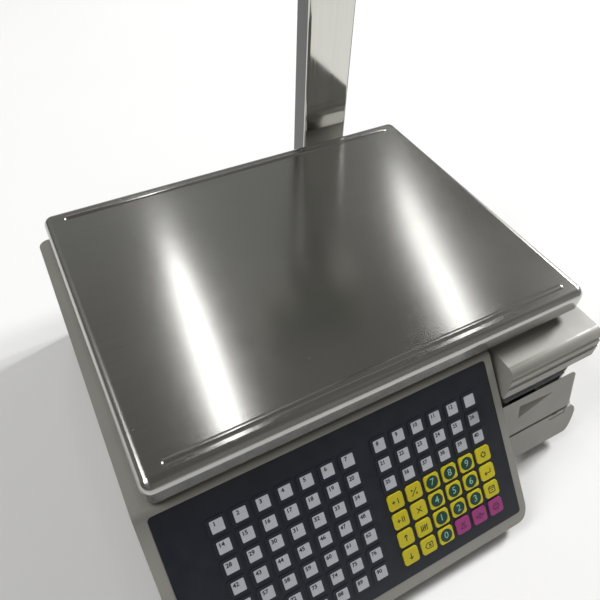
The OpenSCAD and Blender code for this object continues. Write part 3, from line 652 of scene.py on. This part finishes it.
def make_camera():
    """Camera at the left front, above: where it stands, where it looks and how far it leans."""
    place = Vector((-181.35, -295.03, 488.56)) * MM
    azimuth = math.radians(29.84)
    elevation = math.radians(-47.77)
    lean = math.radians(2.48)
    forward = Vector((math.sin(azimuth) * math.cos(elevation), math.cos(azimuth) * math.cos(elevation),
                      math.sin(elevation)))
    level = Vector((math.cos(azimuth), -math.sin(azimuth), 0))
    upright = level.cross(forward)
    right = level * math.cos(lean) + upright * math.sin(lean)
    up = upright * math.cos(lean) - level * math.sin(lean)
    data = bpy.data.cameras.new("camera")
    data.sensor_width = 36
    data.lens = 34.35
    data.clip_start = 0.01
    camera = bpy.data.objects.new("camera", data)
    camera.matrix_world = Matrix(((right.x, up.x, -forward.x, place.x), (right.y, up.y, -forward.y, place.y),
                                  (right.z, up.z, -forward.z, place.z), (0, 0, 0, 1)))
    bpy.context.scene.collection.objects.link(camera)
    bpy.context.scene.camera = camera


# ---- Build ----

def dress_nodes():
    housing = moulded("housing_plastic", (0.32, 0.31, 0.28), 0.42)
    dark = moulded("dark_plastic", (0.03, 0.03, 0.033), 0.5)
    grey = moulded("grey_plastic", (0.2, 0.2, 0.2), 0.45)
    yellow = film("yellow_film", (0.66, 0.56, 0.012), 0.34)
    pink = film("pink_film", (0.36, 0.04, 0.21), 0.34)
    zinc = steel("zinc_steel", (0.55, 0.56, 0.58), 0.34, (90, 90, 90), 0.00001, 0.1)
    milled = steel("milled_aluminium", (0.68, 0.69, 0.7), 0.3, (900, 30, 900), 0.00001, 0.08)
    acetal = moulded("gear_acetal", (0.66, 0.62, 0.5), 0.35, 0.00001)
    black_rubber = rubber("black_rubber", (0.02, 0.02, 0.021))
    board = circuit_board()
    finishes = {
        housing: ["top_housing", "printer_top_cover", "printer_housing", "printer_front_door",
                  "printer_side_door", "display_head_front", "display_head_rear"],
        dark: ["base_tray", "pole_bracket", "power_inlet"],
        grey: ["roll_hub", "bubble_level"],
        film("panel_film", (0.0075, 0.011, 0.02), 0.33): ["keypad_panel"],
        label_keys(): ["preset_keys"],
        board: ["key_board", "main_board"],
        zinc: ["printer_frame", "feed_motor", "tear_bar", "fasteners", "power_supply"],
        milled: ["print_head", "load_cell"],
        moulded("lever_green", (0.02, 0.2, 0.08), 0.35): ["head_lever"],
        acetal: ["platen_gear", "idler_gear"],
        steel("turned_brass", (0.72, 0.52, 0.22), 0.25, (600, 60, 60), 0.00001): ["motor_pinion"],
        roll_paper(): ["label_roll"],
        tray_steel(): ["platter"],
        cast("cast_aluminium", (0.6, 0.6, 0.61)): ["platter_support"],
        black_rubber: ["platen_roller", "support_pads"] + [f"levelling_foot_{i}" for i in range(1, 5)],
        pole_steel(): ["pole"],
        moulded("rocker_red", (0.35, 0.02, 0.015), 0.3): ["power_switch"],
        glass_pane(): ["lcd_windows"],
        yellow: ["shortcut_keys"],
    }
    for finish, nodes in finishes.items():
        for node in nodes:
            dress(node, finish)
    for name in (n for row in KEY_ROWS for n in row):
        dress("key_" + name, pink if name in ("tare", "zero", "print") else yellow)
    return zinc, dark


def soften_nodes():
    for node, width in (("top_housing", 0.8), ("printer_housing", 0.3), ("printer_top_cover", 0.6),
                        ("printer_front_door", 0.5)):
        soften(node, width * MM)
    for node in ("display_head_front", "display_head_rear", "pole_bracket"):
        soften(node, 1.2 * MM)
    for node in ["shortcut_keys"] + ["key_" + n for row in KEY_ROWS for n in row]:
        soften(node, 0.45 * MM, 2)


def make_details(zinc, dark):
    ink = film("dark_ink", (0.035, 0.05, 0.012), 0.4, 0.0)
    black_ink = film("black_ink", (0.012, 0.012, 0.014), 0.45, 0.0)
    plum = film("plum_ink", (0.12, 0.01, 0.07), 0.4, 0.0)
    green = film("green_field", (0.002, 0.05, 0.028), 0.34)
    figure = film("pale_figures", (0.36, 0.58, 0.53), 0.4, 0.0)
    number_label_keys(black_ink)
    print_function_keys(green, figure, ink, plum)
    print_shortcut_keys(ink)
    display_panels(moulded("display_reflector", (0.33, 0.38, 0.3), 0.5, 0.000005),
                   moulded("display_segment", (0.02, 0.025, 0.022), 0.4, 0.000005))
    rear_screws(zinc, dark)
    level_vial(film("level_liquid", (0.35, 0.5, 0.03), 0.12, 0.6),
               film("level_bubble", (0.7, 0.75, 0.4), 0.1, 0.6))


make_camera()
zinc_finish, dark_finish = dress_nodes()
soften_nodes()
make_details(zinc_finish, dark_finish)
make_floor()
make_lights()
bpy.context.scene.view_settings.view_transform = "Standard"
